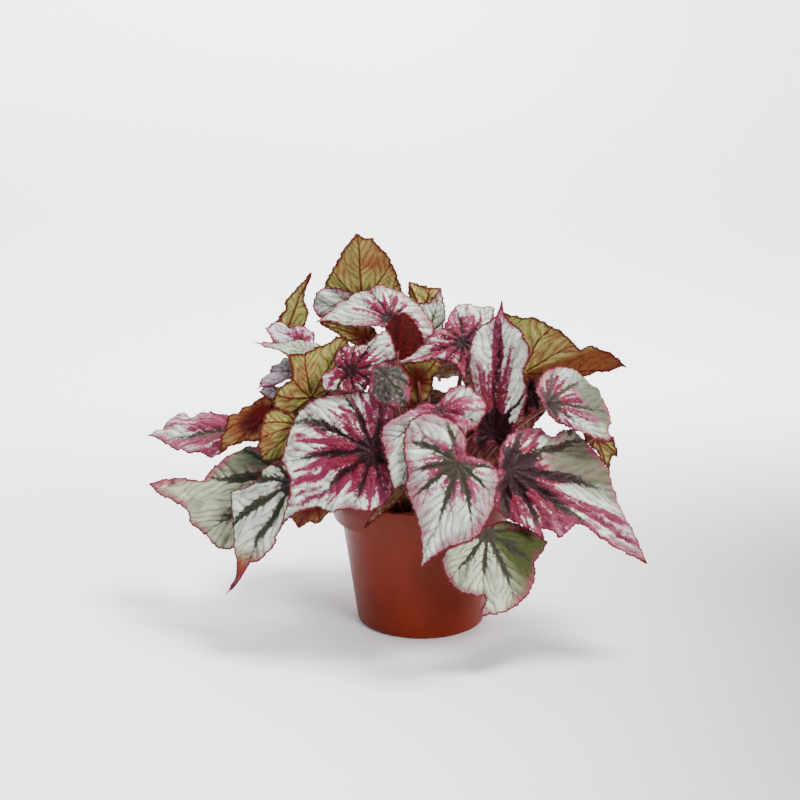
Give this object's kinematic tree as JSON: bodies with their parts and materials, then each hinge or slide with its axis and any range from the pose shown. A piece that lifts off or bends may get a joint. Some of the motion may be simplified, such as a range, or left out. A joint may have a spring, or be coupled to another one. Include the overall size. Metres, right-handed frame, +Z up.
{
  "type": "potted rex begonia",
  "caption": "Rex begonia with silver, crimson and dark-veined toothed leaves on slender stalks, in a round terracotta-coloured nursery pot filled with soil.",
  "frame": {"origin": "centre of the pot's flat bottom", "axes": "+Z up along the pot's axis, -Y to the viewer of the picture, +X to the viewer's right"},
  "size_m": [0.3534, 0.2375, 0.2797],
  "materials": {
    "pot": "satin moulded plastic, terracotta colour",
    "soil": "damp peat potting soil",
    "crown": "knobby brown rootstock",
    "leaf_upper_out": "puckered silver leaf with dark centre, crimson zones and pink toothed edge",
    "leaf_underside_out": "olive leaf underside with raised red veins"
  },
  "bodies": {
    "root": {"pot": "pot", "soil": "soil", "crown": "crown", "leaf_big_left": "leaf_upper_out", "leaf_big_right": "leaf_upper_out", "leaf_brown_right": "leaf_upper_out", "leaf_crest": "leaf_underside_out", "leaf_crimson_back": "leaf_upper_out", "leaf_curled_left": "leaf_underside_out", "leaf_far_left": "leaf_upper_out", "leaf_folded_left": "leaf_underside_out", "leaf_front": "leaf_upper_out", "leaf_furled": "leaf_upper_out", "leaf_grey_back": "leaf_upper_out", "leaf_grey_small": "leaf_upper_out", "leaf_hanging_left": "leaf_upper_out", "leaf_lilac_left": "leaf_upper_out", "leaf_lilac_low": "leaf_upper_out", "leaf_low_front": "leaf_upper_out", "leaf_low_left": "leaf_upper_out", "leaf_maroon": "leaf_underside_out", "leaf_middle": "leaf_upper_out", "leaf_olive_back": "leaf_underside_out", "leaf_olive_left": "leaf_underside_out", "leaf_olive_middle": "leaf_underside_out", "leaf_olive_right": "leaf_underside_out", "leaf_orange": "leaf_underside_out", "leaf_rays": "leaf_upper_out", "leaf_right_flap": "leaf_underside_out", "leaf_rim": "leaf_underside_out", "leaf_russet": "leaf_underside_out", "leaf_slim_left": "leaf_upper_out", "leaf_strip_left": "leaf_upper_out", "leaf_tall": "leaf_upper_out", "leaf_top": "leaf_upper_out", "leaf_top_left": "leaf_upper_out", "leaf_under_top": "leaf_underside_out", "leaf_upper_right": "leaf_upper_out", "rear_leaf_left": "leaf_upper_out", "rear_leaf_low": "leaf_upper_out", "rear_leaf_low_left": "leaf_upper_out", "rear_leaf_low_right": "leaf_upper_out", "rear_leaf_upper": "leaf_upper_out", "rear_leaf_upper_left": "leaf_upper_out", "rear_leaf_upper_right": "leaf_upper_out"}
  },
  "joints": []
}
